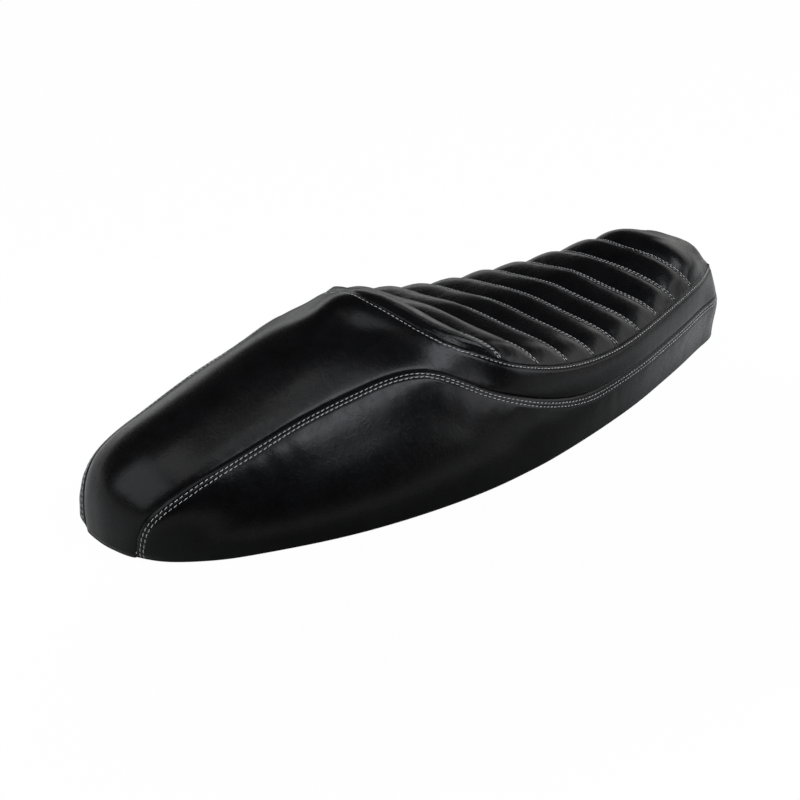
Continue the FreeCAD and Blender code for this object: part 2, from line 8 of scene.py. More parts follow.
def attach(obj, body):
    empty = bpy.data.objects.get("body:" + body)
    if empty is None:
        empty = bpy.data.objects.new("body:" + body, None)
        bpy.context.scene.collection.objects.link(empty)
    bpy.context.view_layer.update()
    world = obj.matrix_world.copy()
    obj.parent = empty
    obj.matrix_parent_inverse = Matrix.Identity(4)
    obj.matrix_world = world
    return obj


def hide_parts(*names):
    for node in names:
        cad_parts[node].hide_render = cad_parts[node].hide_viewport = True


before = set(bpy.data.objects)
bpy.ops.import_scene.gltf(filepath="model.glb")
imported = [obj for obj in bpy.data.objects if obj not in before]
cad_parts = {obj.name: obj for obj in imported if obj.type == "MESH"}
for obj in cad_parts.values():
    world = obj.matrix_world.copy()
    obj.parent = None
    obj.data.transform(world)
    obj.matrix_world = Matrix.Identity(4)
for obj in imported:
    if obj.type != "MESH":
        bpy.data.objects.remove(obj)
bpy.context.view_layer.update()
bpy.ops.object.select_all(action="DESELECT")
print("frame loaded with", len(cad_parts), "nodes")

# Guide lines of the cover, in millimetres: distance from the tail, half width, height.
# The rear edge of the insert is given as a share of the half width and a shift along the seam.
guides = {
    "seam": [
        (0, 33, 0), (0, 35, 16), (3.5, 39, 31), (14, 46.5, 45), (26, 51.8, 53.5), (40, 55, 60),
        (80, 59.3, 71.4), (140, 64.2, 87), (200, 71, 98.6), (262, 87, 104), (318, 112.5, 77.5),
        (340, 119, 68.5), (364, 123.5, 60), (394, 124.5, 51), (430, 123, 43.8), (480, 117, 42.5),
        (530, 107.5, 43.5), (580, 94.5, 45), (640, 77, 47), (684, 63, 48), (708, 54.5, 47.5),
        (716.5, 48.5, 47.2), (722, 43, 47), (727.3, 25, 47), (729, 0, 47)],
    "spine": [
        (-6, 0, 0), (-7, 0, 18), (-4.5, 0, 37), (6, 0, 57), (18, 0, 68), (32, 0, 76.5), (73, 0, 91.5),
        (133, 0, 110.5), (193, 0, 127.5), (232, 0, 139), (264, 0, 146), (284, 0, 140.5), (310, 0, 127),
        (350, 0, 110), (396, 0, 99.5), (454, 0, 94), (510, 0, 93.8), (564, 0, 97), (628, 0, 104),
        (684, 0, 104.5), (710, 0, 90.5), (722, 0, 77), (729, 0, 47)],
    "shoulder": {
        9: (256, 69.5, 115), 10: (318, 93, 106.5), 11: (340, 107.5, 96.5), 12: (364, 113.5, 88),
        13: (394, 116, 79.5), 14: (430, 115, 72.5), 15: (480, 110, 68.2), 16: (530, 101, 69),
        17: (580, 88, 71), 18: (640, 71, 74), 19: (682, 56, 75), 20: (703, 45, 75.5), 21: (712, 40.5, 76)},
    "flank": {
        9: (242, 36, 128), 10: (279, 46, 131), 11: (299, 53, 126), 12: (325, 56.5, 115), 18: (632, 35.5, 101),
        19: (684, 29, 100.2), 20: (708, 25.5, 90), 21: (718.5, 20, 77)},
    "rim": [
        (0, 33, 0), (11, 53.5, 0), (30, 71, 0), (72, 94, 0), (136, 117, 0), (200, 131.6, 0), (262, 139, 0),
        (318, 140, 0), (340, 138.8, 0), (364, 137, 0), (394, 133.2, 0), (430, 127.3, 0), (480, 117.8, 0),
        (530, 106.5, 0), (580, 92.5, 0), (640, 74.3, 0), (684, 60, 0), (708, 52, 0), (716, 47.5, 0),
        (721.5, 43, 0), (728, 25, 0), (729, 0, 0)],
    "tailRow": 3, "crestRow": 10, "levelRow": 18, "noseRow": 21, "cornerRow": 22, "middle": 361.0,
    "shoulderShare": 0.8, "flankShare": 0.4, "levelShare": 0.62, "padRound": 0.05, "frontBulge": 1.5,
    "skirtLean": 2.0, "seamPitch": 1.0, "padPitch": 0.8,
    "seamSamples": 3000, "sideSamples": 1600, "acrossSamples": 900,
    "rearEdge": [
        (0, 4.4), (0.1, 5.2), (0.2, 8.4), (0.28, 9.5), (0.35, 7.9), (0.4, 4.9), (0.45, 0), (0.5, -5.6),
        (0.55, -11.2), (0.6, -15.7), (0.65, -18.4), (0.7, -19.3), (0.75, -16.4), (0.78, -11.5),
        (0.793, -6), (0.8, 4)],
}


def placed(rows):
    return np.array(rows, float) - (guides["middle"], 0, 0)


def batten(knots, points):  # a smooth line through every point, as a bent batten lies
    knots, points = np.array(knots, float), np.array(points, float)
    gaps, count = np.diff(knots), len(knots)
    stiff, load = np.eye(count), np.zeros_like(points)
    for i in range(1, count - 1):
        stiff[i, i - 1:i + 2] = gaps[i - 1], 2 * (gaps[i - 1] + gaps[i]), gaps[i]
        load[i] = 6 * ((points[i + 1] - points[i]) / gaps[i] - (points[i] - points[i - 1]) / gaps[i - 1])
    bend = np.linalg.solve(stiff, load)

    def at(t):
        t = np.asarray(t, float)
        i = np.clip(np.searchsorted(knots, t) - 1, 0, count - 2)
        right = ((t - knots[i]) / gaps[i])[..., None]
        left, span = 1 - right, (gaps[i] ** 2 / 6)[..., None]
        flat = left * points[i] + right * points[i + 1]
        return flat + ((left ** 3 - left) * bend[i] + (right ** 3 - right) * bend[i + 1]) * span
    return at


seamPoints, spinePoints, rimPoints = (placed(guides[k]) for k in ("seam", "spine", "rim"))
knots = np.concatenate([[0], np.cumsum(np.linalg.norm(np.diff(seamPoints, axis=0), axis=1))])
tail, crest, nose, corner = (knots[guides[k]] for k in ("tailRow", "crestRow", "noseRow", "cornerRow"))
front, levelStart = knots[-1], knots[guides["levelRow"]]
padEdge, flankShare = guides["shoulderShare"], guides["flankShare"]
seamAt = batten(knots, seamPoints)


def acrossPoints(share, given):  # points of a guide line between the spine and the seam
    points = []
    for i in range(guides["noseRow"] + 1):
        s, c = seamPoints[i], spinePoints[i]
        if i in given:
            points.append(placed(given[i]))
        elif i > guides["crestRow"]:
            m, b = placed(guides["shoulder"][i]), share / padEdge
            p = c + (m - c) * ((1 - guides["padRound"]) * b * b + guides["padRound"] * b ** 4)
            points.append(np.array([p[0], m[1] * b, p[2]]))
        else:
            p = c + (s - c) * share * share
            points.append(np.array([p[0], s[1] * share, p[2]]))
    return points


topKnots = knots[:guides["noseRow"] + 1]
spineAt = batten(topKnots, spinePoints[:guides["noseRow"] + 1])
shoulderAt = batten(topKnots, acrossPoints(padEdge, guides["shoulder"]))
flankAt = batten(topKnots, acrossPoints(flankShare, guides["flank"]))
rimAt = batten(knots[guides["tailRow"]:], rimPoints)
weightsAt = batten([-1, -padEdge, -flankShare, 0, flankShare, padEdge, 1], np.eye(7))
padWeightsAt = batten([-padEdge, -flankShare, 0, flankShare, padEdge], np.eye(5))
flip = np.array([1, -1, 1])


def eased(x):
    x = np.clip(x, 0, 1)
    return x * x * (3 - 2 * x)


def topAt(t, a):  # a point of the top, t along the side seam and a across from seam to seam
    t, a = np.broadcast_arrays(np.asarray(t, float), np.asarray(a, float))
    q = np.minimum(t, nose)
    s, m, n = seamAt(q), shoulderAt(q), flankAt(q)
    lines = np.stack([s * flip, m * flip, n * flip, spineAt(q), n, m, s], axis=-2)
    top = np.einsum("...k,...kc->...c", weightsAt(a), lines)
    pad = np.einsum("...k,...kc->...c", padWeightsAt(a), lines[..., 1:-1, :])  # by the pad's own lines
    level = guides["levelShare"] * eased((q - levelStart) / (nose - levelStart)) * (np.abs(a) < padEdge)
    top = top + (pad - top) * level[..., None]  # keeps the front edge of the pad level
    down = np.clip((t - nose) / (corner - nose), 0, 1)[..., None]
    foot = seamAt(corner + (front - corner) * (1 - np.abs(a)))
    foot = np.where(a[..., None] < 0, foot * flip, foot)
    bulge = guides["frontBulge"] * 4 * down * (1 - down) * (1 - a * a)[..., None] * np.array([1, 0, 0])
    return top + (foot - top) * down + bulge


def skirtAt(t, v):  # a point of the left skirt, v up from the rim to the side seam
    t, v = np.broadcast_arrays(np.asarray(t, float), np.asarray(v, float))

    def plain(q):
        s, r = seamAt(q), rimAt(q)
        w = r[..., 1] + (s[..., 1] - r[..., 1]) * v ** guides["skirtLean"]
        return np.stack([r[..., 0] + (s[..., 0] - r[..., 0]) * v, w, s[..., 2] * v], axis=-1)
    foot = seamAt(tail * v) - plain(np.full_like(t, tail))
    return plain(t) + foot * eased(1 - (t - tail) / tail)[..., None]


def normalsOf(table):
    n = np.cross(np.gradient(table, axis=0), np.gradient(table, axis=1))
    return n / np.maximum(np.linalg.norm(n, axis=-1, keepdims=True), 1e-9)


def lengthAlong(line):
    return np.concatenate([[0], np.cumsum(np.linalg.norm(np.diff(line, axis=0), axis=1))])


def spaced(line, pitch):
    run = lengthAlong(line)
    stops = np.linspace(0, run[-1], max(2, int(round(run[-1] / pitch)) + 1))
    return np.stack([np.interp(stops, run, line[:, k]) for k in range(3)], axis=-1)


def nearestOn(points, line, pitch):  # distance to a line, and how far along it
    tree = KDTree(len(line))
    for i, p in enumerate(line):
        tree.insert(p, i)
    tree.balance()
    found = [tree.find(p) for p in points.reshape(-1, 3)]
    shape = points.shape[:-1]
    away, place = np.array([f[2] for f in found]), np.array([f[1] for f in found])
    return away.reshape(shape), place.reshape(shape) * pitch


def ripples(points, wave, seed):  # soft unevenness, from -1 to 1
    flat = points.reshape(-1, 3) / np.array(wave) + seed
    return np.array([noise.noise(Vector(p)) for p in flat]).reshape(points.shape[:-1])


def puckers(along, away, wave, reach, seed):  # short folds across a line of stitches
    along, away = np.broadcast_arrays(along, away)
    places = np.stack([along, away, along * 0], axis=-1)
    return ripples(places, (wave, reach, 1), seed) * np.exp(-away / reach)


def evenSteps(start, end, count):
    return start + (end - start) * np.arange(count + 1) / count


leftSeam = spaced(seamAt(np.linspace(0, front, guides["seamSamples"])), guides["seamPitch"])
bothSeams = np.concatenate([leftSeam, leftSeam * flip])
rearShares, rearShifts = np.array(guides["rearEdge"]).T
rearShift = batten(rearShares, rearShifts[:, None])


def rearEdge(a):  # where the insert's rear seam crosses the hump
    a = np.abs(a)
    return crest + rearShift(np.minimum(a, padEdge))[..., 0] * np.minimum(1, (1 - a) / (1 - padEdge))


sideRun = np.linspace(rearEdge(padEdge), nose, guides["sideSamples"])
acrossRun = np.linspace(-padEdge, padEdge, guides["acrossSamples"])
padOutline = spaced(np.concatenate([
    topAt(rearEdge(acrossRun), acrossRun), topAt(sideRun, padEdge),
    topAt(nose, acrossRun[::-1]), topAt(sideRun[::-1], -padEdge)]), guides["padPitch"])


def rolledEdge(distance, radius):  # the leather turns down into the seam
    d = np.clip(distance, 0, radius)
    return np.sqrt(np.maximum(radius ** 2 - (radius - d) ** 2, 0)) - radius


def swollen(distance, flat, reach, power):  # filling that rises from a channel, from 0 to 1
    return 1 - (1 - np.clip((distance - flat) / np.maximum(reach - flat, 1), 0, 1)) ** power


def domed(distance, height, peak, fade):  # padding that rises straight from a seam
    up = 1 - (1 - np.clip(distance / peak, 0, 1)) ** 2
    return height * up * eased(1 - (distance - peak) / fade)


def hollow(distance, depth, width):  # a row of stitches pulls the leather in
    return -depth * np.exp(-(distance / width) ** 2)


def gridSheet(name, table, drop=None):
    rows, columns = table.shape[:2]
    bpy.ops.object.select_all(action="DESELECT")
    bpy.ops.mesh.primitive_grid_add(x_subdivisions=rows - 1, y_subdivisions=columns - 1, size=2)
    sheet = bpy.context.object
    sheet.name = name
    flat = np.empty(len(sheet.data.vertices) * 3)
    sheet.data.vertices.foreach_get("co", flat)
    flat = flat.reshape(-1, 3)
    i = np.rint((flat[:, 0] + 1) / 2 * (rows - 1)).astype(int)
    j = np.rint((flat[:, 1] + 1) / 2 * (columns - 1)).astype(int)
    sheet.data.vertices.foreach_set("co", (table[i, j] / 1000).ravel())
    if drop is not None:
        bpy.ops.object.mode_set(mode="EDIT")
        bpy.ops.mesh.select_mode(type="FACE")
        bpy.ops.object.mode_set(mode="OBJECT")
        for face in sheet.data.polygons:
            corners = list(face.vertices)
            face.select = bool(np.all(drop[i[corners], j[corners]]))
        bpy.ops.object.mode_set(mode="EDIT")
        bpy.ops.mesh.delete(type="FACE")
        bpy.ops.object.mode_set(mode="OBJECT")
    sheet.data.update()
    bpy.ops.object.shade_smooth()
    return sheet


def thickened(sheet, millimetres):
    bpy.ops.object.select_all(action="DESELECT")
    sheet.select_set(True)
    bpy.context.view_layer.objects.active = sheet
    wall = sheet.modifiers.new("wall", "SOLIDIFY")
    wall.thickness = millimetres / 1000
    wall.offset = -1
    bpy.ops.object.modifier_apply(modifier="wall")
    bpy.ops.object.shade_smooth()


# Rear panel: hump, tail and the collar that runs on round the insert.
rearPanel = {
    "rowPitch": 3.6, "wall": 1.6, "seamRadius": 1.4, "padRadius": 1.3, "pillow": 0.6, "pillowPeak": 6.0,
    "pillowFade": 18.0, "stitchRow": 4.3, "stitchDepth": 0.35, "stitchWidth": 0.9,
    "pucker": 0.22, "padPuckers": (6, 9, 2.6), "seamPuckers": (9, 12, 5.1), "puckerClear": 3.0,
    "unevenness": 0.22, "wave": (46, 3.1), "waveClear": 12.0,
    "fineSteps": (0, 0.1, 0.25, 0.5, 0.9, 1.4, 2.2, 3.0, 3.7, 4.3, 4.9, 5.6, 6.6, 8.8),
    "noseSteps": (0.006, 0.016, 0.035, 0.07, 0.12, 0.16, 0.2, 0.25, 0.3, 0.38, 0.48, 0.58, 0.67, 0.75, 0.82,
                  0.88, 0.925, 0.955, 0.975, 0.99, 1),
    "rearStretch": 1.7, "frontStretch": 1.2, "noseStretch": 0.6, "rearGap": 16, "frontGap": 12, "noseGap": 8,
    "padColumns": 21, "padShare": 0.9, "edgeShare": 0.1, "bandWidth": 25, "bandMiddle": (11.5, 14),
    "rearBlend": 90, "frontBlend": 40, "slack": 1e-6,
}


def panelRows(fine):  # close together at the insert's two ends
    s = rearPanel
    tailEnd, padStart, padEnd = crest - s["rearGap"], crest + s["frontGap"], nose - s["noseGap"]
    return np.unique(np.concatenate([
        evenSteps(0, tailEnd, round(tailEnd / s["rowPitch"]))[:-1],
        crest - s["rearStretch"] * fine[::-1], crest + s["frontStretch"] * fine[1:],
        evenSteps(padStart, padEnd, round((padEnd - padStart) / s["rowPitch"])),
        nose - s["noseStretch"] * fine[:-1][::-1], nose + (corner - nose) * np.array(s["noseSteps"])]))


def panelColumns(fine):  # close together on both sides of the collar
    s = rearPanel
    band = np.concatenate([fine, s["bandMiddle"], s["bandWidth"] - fine[:-1][::-1]]) / s["bandWidth"]
    inner = np.linspace(0, s["padShare"], s["padColumns"])[:-1]
    edge = 1 - s["edgeShare"] * (fine[1:] / fine[-1])[::-1]
    half = np.concatenate([padEdge * inner, padEdge * edge, padEdge + (1 - padEdge) * band])
    return np.concatenate([-half[:0:-1], half])


def buildRearPanel():
    s = rearPanel
    fine = np.array(s["fineSteps"])
    t, a = panelRows(fine)[:, None], panelColumns(fine)[None, :]
    rearPull = eased(1 - (crest - t) / s["rearBlend"])
    frontPull = eased(1 - (t - crest) / s["frontBlend"])
    table = topAt(t + np.where(t < crest, rearPull, frontPull) * (rearEdge(a) - crest), a)
    n = normalsOf(table)
    toSeam, alongSeam = nearestOn(table, bothSeams, guides["seamPitch"])
    toPad, alongPad = nearestOn(table, padOutline, guides["padPitch"])
    lift = rolledEdge(toSeam, s["seamRadius"]) + rolledEdge(toPad, s["padRadius"])
    for d in (toSeam, toPad):
        lift += domed(d, s["pillow"], s["pillowPeak"], s["pillowFade"])
    lift += hollow(toPad - s["stitchRow"], s["stitchDepth"], s["stitchWidth"])
    folds = puckers(alongPad, toPad, *s["padPuckers"]) + puckers(alongSeam, toSeam, *s["seamPuckers"])
    lift += s["pucker"] * folds * eased(toSeam / s["puckerClear"])
    lift += s["unevenness"] * ripples(table, *s["wave"]) * eased(np.minimum(toSeam, toPad) / s["waveClear"])
    underInsert = (t >= crest - s["slack"]) & (t <= nose + s["slack"]) & (np.abs(a) <= padEdge + s["slack"])
    return gridSheet("rearPanelLeather", table + n * lift[..., None], underInsert)


# Ribbed insert: stitched channels across the saddle.
ribbedInsert = {
    "grooves": 9, "firstRoll": 20.0, "pitch": 39.0, "bow": (10.0, 13.0), "bowGrowth": 1.3, "wall": 2.0,
    "height": 4.4, "flat": 2.1, "lean": 0.64, "rearLean": 0.45, "rearFullness": 1.9, "frontFullness": 2.2,
    "sideDrop": 0.4, "margin": 2.5, "fade": 17.0, "rimShare": 0.04, "edgeRadius": 1.4,
    "fullRoll": 30.0, "rearRoll": 60.0, "rearClear": 9.0,
    "cornerThin": 0.6, "cornerFrom": 0.4, "cornerSpan": 0.35,
    "noseRise": 22.0, "noseFade": 38.0, "noseFill": 1.5,
    "crease": 1.0, "creaseWidth": 0.7, "creaseClear": 3.0,
    "pucker": 0.42, "puckerStart": 2.2, "puckerWave": 6.5, "puckerReach": 7.0,
    "puckerFrom": 1.6, "puckerRise": 3.0, "seedBefore": 4.4, "seedAfter": 8.2, "seedStep": 3,
    "edgePucker": 0.55, "edgePuckers": (5.5, 9, 6.3), "edgeClear": 4.0,
    "unevenness": 0.35, "wave": (34, 1.9), "waveClear": 14.0,
    "bendDepth": 0.28, "bendWave": 2.6, "bendSway": 0.8, "bendNoise": (12, 5.5), "bendFrom": 0.5,
    "bendRise": 0.2, "bendTo": 0.97, "bendFall": 0.12, "bendClear": 2, "bendReach": 9, "bendFade": 4,
    "edgeSteps": (0, 0.1, 0.25, 0.5, 0.9, 1.4, 2.2, 3.2, 4.4, 5.8, 7.4, 9.2, 11.2, 13.4, 16),
    "rollSteps": (0, 0.01, 0.022, 0.038, 0.055, 0.08, 0.11, 0.15, 0.2, 0.26, 0.32, 0.38, 0.44, 0.5),
    "endSteps": (0, 0.004, 0.01, 0.02, 0.03, 0.042, 0.06, 0.08, 0.11, 0.14, 0.18, 0.22, 0.27, 0.32, 0.38,
                 0.44, 0.5),
    "halfWidth": 120, "middleWidth": 104, "middleColumns": 49, "samples": 900,
}


def grooveX(k, b):
    s = ribbedInsert
    bow = s["bow"][0] + s["bow"][1] * (k / (s["grooves"] - 1)) ** s["bowGrowth"]
    return shoulderAt(crest)[0] + s["firstRoll"] + k * s["pitch"] - bow * (1 - b * b)


def insertTable(columns, stepsOf):  # rows that follow the grooves, column by column
    table = []
    for a in columns:
        t = np.linspace(rearEdge(a), nose, ribbedInsert["samples"])
        line = topAt(t, np.full_like(t, a))
        grooves = [grooveX(k, a / padEdge) for k in range(ribbedInsert["grooves"])]
        stops = [line[0, 0], *grooves, line[-1, 0]]
        x = [stops[0]]
        for i, (p, q) in enumerate(zip(stops, stops[1:])):
            x += list(p + (q - p) * stepsOf(i)[1:])
        table.append(topAt(np.interp(x, line[:, 0], t), np.full(len(x), a)))
    return np.stack(table, axis=1)


def runDown(table):
    steps = np.linalg.norm(np.diff(table, axis=0), axis=2)
    return np.concatenate([np.zeros((1, table.shape[1])), np.cumsum(steps, axis=0)])


def mirroredSteps(steps):
    return np.concatenate([steps, 1 - np.array(steps)[-2::-1]])


def cornerCreases(places, across, edge):  # beside the rear seam, where the hump turns into the collar
    s = ribbedInsert
    inBand = eased((across - s["bendFrom"]) / s["bendRise"]) * eased((s["bendTo"] - across) / s["bendFall"])
    nearSeam = eased(edge / s["bendClear"]) * eased((s["bendReach"] - edge) / s["bendFade"])
    sway = s["bendSway"] * ripples(places, *s["bendNoise"])
    return s["bendDepth"] * inBand * nearSeam * np.sin(2 * math.pi * (edge + sway) / s["bendWave"])


def drawnIn(y, away, edge, seed):  # beside a groove, the stitches leave puckers and a crease
    s = ribbedInsert
    folds = puckers(y, np.maximum(away - s["puckerStart"], 0), s["puckerWave"], s["puckerReach"], seed)
    folds = s["pucker"] * folds * eased((away - s["puckerFrom"]) / s["puckerRise"])
    return folds + hollow(away, s["crease"], s["creaseWidth"]) * eased(edge / s["creaseClear"])


def buildInsert():
    s = ribbedInsert
    middle = np.linspace(0, s["middleWidth"], s["middleColumns"])[:-1]
    edge = s["halfWidth"] - np.array(s["edgeSteps"])[::-1]
    half = np.concatenate([middle, edge]) / s["halfWidth"] * padEdge
    columns = np.concatenate([-half[:0:-1], half])
    rollRows, endRows = mirroredSteps(s["rollSteps"]), mirroredSteps(s["endSteps"])
    last = s["grooves"]
    table = insertTable(columns, lambda i: endRows if i in (0, last) else rollRows)
    n = normalsOf(table)
    starts = [0] + [len(endRows) - 1 + i * (len(rollRows) - 1) for i in range(last)] + [len(table) - 1]
    run = runDown(table)
    lift = np.zeros(table.shape[:2])
    toEdge, alongEdge = nearestOn(table, padOutline, guides["padPitch"])
    across = np.abs(columns) / padEdge
    full = s["height"] * (1 - s["sideDrop"] * across ** 2)
    toSides = s["rimShare"] + (1 - s["rimShare"]) * eased((toEdge - s["margin"]) / s["fade"])
    toCorners = 1 - s["cornerThin"] * eased((across - s["cornerFrom"]) / s["cornerSpan"])
    for i, (p, q) in enumerate(zip(starts, starts[1:])):
        piece = run[p:q + 1]
        before, after, long = piece - piece[0], piece[-1] - piece, piece[-1] - piece[0]
        y, edge = table[p:q + 1, :, 1], toEdge[p:q + 1]
        if i == last:
            puff = s["noseFill"] * swollen(before, s["flat"], s["noseRise"], s["frontFullness"])
            puff *= eased(1 - (before - s["noseRise"]) / s["noseFade"])
        else:
            flat, lean = (s["flat"], s["lean"]) if i else (0, s["rearLean"])
            rear = swollen(before, flat, lean * long, s["rearFullness"])
            puff = np.minimum(rear, swollen(after, s["flat"], (1 - s["lean"]) * long, s["frontFullness"]))
        puff = puff * full * np.minimum(1, long / (s["fullRoll"] if i else s["rearRoll"]))
        puff *= toSides[p:q + 1] if i else eased(edge / s["rearClear"]) * toCorners
        if i:
            puff += drawnIn(y, before, edge, s["seedBefore"] + s["seedStep"] * i)
        else:
            puff += cornerCreases(table[p:q + 1], across, edge)
        if i < last:
            puff += drawnIn(y, after, edge, s["seedAfter"] + s["seedStep"] * i)
        lift[p:q + 1] = puff
    lift += s["edgePucker"] * puckers(alongEdge, toEdge, *s["edgePuckers"]) * eased(toEdge / s["edgeClear"])
    lift += s["unevenness"] * ripples(table, *s["wave"]) * eased(toEdge / s["waveClear"])
    lift += rolledEdge(toEdge, s["edgeRadius"])
    table = table + n * lift[..., None]
    return gridSheet("ribbedInsertLeather", table), table, starts[1:-1]


# Side skirts: below the side seam, turned in at the rim in a hem.
skirts = {
    "rowPitch": 3.6, "wall": 1.6, "seamRadius": 1.3, "pillow": 2.6, "pillowPeak": 10.0, "pillowFade": 36.0,
    "stitchRows": (4.2, 7.4), "stitchDepth": 0.4, "stitchWidth": 0.9, "hemDepth": 8.0, "hemHeight": 13.0,
    "wrinkles": 0.5, "wrinkleWave": 11, "wrinkleReach": 22, "wrinkleSeed": 2.2, "wrinkleStart": 8,
    "wrinkleFrom": 7, "wrinkleRise": 6, "unevenness": 0.5, "wave": (70, 7.7), "waveClear": 14, "rimFade": 8,
    "seamSteps": (0, 0.1, 0.25, 0.5, 0.9, 1.4, 2.2, 3.0, 3.6, 4.2, 4.8, 5.4, 6.1, 6.8, 7.4, 8.0, 8.8, 10, 12,
                  14.5, 18),
    "lowerSteps": (0.09, 0.065, 0.045, 0.03), "lowerSpan": (0.93, 0.12, 14),
    "tailSteps": (21, 60, 11), "sideStart": 64, "frontRows": 15, "samples": 60, "leastWall": 0.5,
}


def outwardAt(t):  # level direction away from the seat, at a place along the rim
    tangent = rimAt(t + 0.5) - rimAt(t - 0.5)
    away = np.stack([-tangent[:, 1], tangent[:, 0], tangent[:, 0] * 0], axis=-1)
    return away / np.linalg.norm(away, axis=1, keepdims=True)


def hemAt(t):  # in at the rim and up behind the skirt
    depth, height = skirts["hemDepth"], skirts["hemHeight"]
    foot, inward = skirtAt(t, 0), -outwardAt(t)
    inward[-1] = (-1, 0, 0)
    hem = []
    for inset, z in ((0.25, 0.7), (0.9, 0.25), (1.9, 0.05), (depth / 2, 0), (depth - 1.6, 0.1),
                     (depth - 0.6, 0.6), (depth, 1.6), (depth, height / 2), (depth, height)):
        p = foot + inward * inset
        p[:, 2] = z
        hem.append(p)
    return np.stack(hem, axis=1)


def buildSkirt(name, side):
    s = skirts
    steps, sideStart = np.array(s["seamSteps"]), tail + s["sideStart"]
    t = np.concatenate([tail + steps, tail + evenSteps(*s["tailSteps"]),
                        evenSteps(sideStart, corner, round((corner - sideStart) / s["rowPitch"])),
                        corner + (front - corner) * np.linspace(0, 1, s["frontRows"])[1:]])
    samples = skirtAt(t[:, None], np.linspace(0, 1, s["samples"])[None, :])
    heights = np.linalg.norm(np.diff(samples, axis=1), axis=2).sum(axis=1)
    heights = np.maximum(heights, heights[len(t) // 2] * s["leastWall"])
    near = 1 - steps[None, :] / heights[:, None]
    lower = np.concatenate([np.linspace(*s["lowerSpan"]), s["lowerSteps"]])
    v = np.concatenate([near, near[:, -1:] * lower[None, :]], axis=1)
    table = skirtAt(t[:, None], v)
    n = -normalsOf(table)
    n *= np.sign(n[len(t) // 2, 8, 1])  # outwards
    toSeam, alongSeam = nearestOn(table, leftSeam, guides["seamPitch"])
    lift = rolledEdge(toSeam, s["seamRadius"])
    lift += domed(toSeam, s["pillow"], s["pillowPeak"], s["pillowFade"])
    for row in s["stitchRows"]:
        lift += hollow(toSeam - row, s["stitchDepth"], s["stitchWidth"])
    places = table * np.array([1, side, 1])
    lift += s["unevenness"] * ripples(places, *s["wave"]) * eased(toSeam / s["waveClear"])
    folds = puckers(alongSeam, np.maximum(toSeam - s["wrinkleStart"], 0), s["wrinkleWave"], s["wrinkleReach"],
                    s["wrinkleSeed"] + side)
    lift += s["wrinkles"] * folds * eased((toSeam - s["wrinkleFrom"]) / s["wrinkleRise"])
    lift *= eased(v * s["rimFade"])
    table = np.concatenate([table + n * lift[..., None], hemAt(t)], axis=1)
    if side < 0:
        table = (table * flip)[:, ::-1]
    return gridSheet(name, table)


# Stitches: one is modelled, and copies of it follow the seams.
stitches = {
    "thick": 0.68, "flatten": 0.9, "dive": 0.6, "sink": 0.06, "segments": 6, "rings": 6, "endPower": 6,
    "side": {"length": 4.1, "pitch": 4.9, "slant": 9.0, "start": 2.0, "samples": 900, "tilt": 0.5,
             "towards": (0.7, 0, -1)},
    "collar": {"length": 3.4, "pitch": 4.3, "slant": 4.0},
    "channel": {"length": 3.5, "pitch": 4.3, "slant": 2.0, "apart": 1.65, "clear": 2.2, "rows": 9,
                "reach": 0.7},
}


def modelStitch():
    s = stitches
    bpy.ops.object.select_all(action="DESELECT")
    bpy.ops.mesh.primitive_uv_sphere_add(segments=s["segments"], ring_count=s["rings"], radius=0.5,
                                         rotation=(0, math.pi / 2, 0))
    stitch = bpy.context.object
    bpy.ops.object.transform_apply(location=True, rotation=True, scale=True)
    bpy.ops.object.mode_set(mode="EDIT")
    bpy.ops.mesh.select_all(action="SELECT")
    bpy.ops.transform.resize(value=(1, s["thick"], s["thick"] * s["flatten"]))
    bpy.ops.object.mode_set(mode="OBJECT")
    for vertex in stitch.data.vertices:  # even along its length, and both ends dive into the leather
        x = abs(2 * vertex.co.x)
        fuller = 1 if x > 0.99 else (1 - x ** s["endPower"]) ** 0.5 / math.sqrt(1 - x * x)
        vertex.co.y *= fuller
        vertex.co.z = vertex.co.z * fuller - s["dive"] * s["thick"] * x ** s["endPower"]
    return stitch


def copyStitches(name, template, spots, kind, material):
    count = len(template.data.vertices)
    shape = np.array([v.co for v in template.data.vertices])
    faces = [list(f.vertices) for f in template.data.polygons]
    turns = [tuple(corner.uv) for corner in template.data.uv_layers[0].data]
    length, slant = stitches[kind]["length"], math.radians(stitches[kind]["slant"])
    points, polygons = [], []
    for i, (p, along, n) in enumerate(spots):
        across = np.cross(n, along)
        x = along * math.cos(slant) + across * math.sin(slant)
        y = np.cross(n, x)
        centre = p - n * stitches["sink"]
        points.append(centre + shape[:, :1] * length * x + shape[:, 1:2] * y + shape[:, 2:] * n)
        polygons += [[c + i * count for c in face] for face in faces]
    mesh = bpy.data.meshes.new(name)
    mesh.from_pydata((np.concatenate(points) / 1000).tolist(), [], polygons)
    layer = mesh.uv_layers.new(name="twist")
    layer.data.foreach_set("uv", np.tile(np.array(turns), (len(spots), 1)).ravel())
    group = bpy.data.objects.new(name, mesh)
    bpy.context.collection.objects.link(group)
    bpy.ops.object.select_all(action="DESELECT")
    group.select_set(True)
    bpy.context.view_layer.objects.active = group
    bpy.ops.object.shade_smooth()
    mesh.materials.append(material)
    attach(group, "root")
    print(name, len(spots), "stitches")


def unit(vectors):
    return vectors / np.maximum(np.linalg.norm(vectors, axis=-1, keepdims=True), 1e-9)


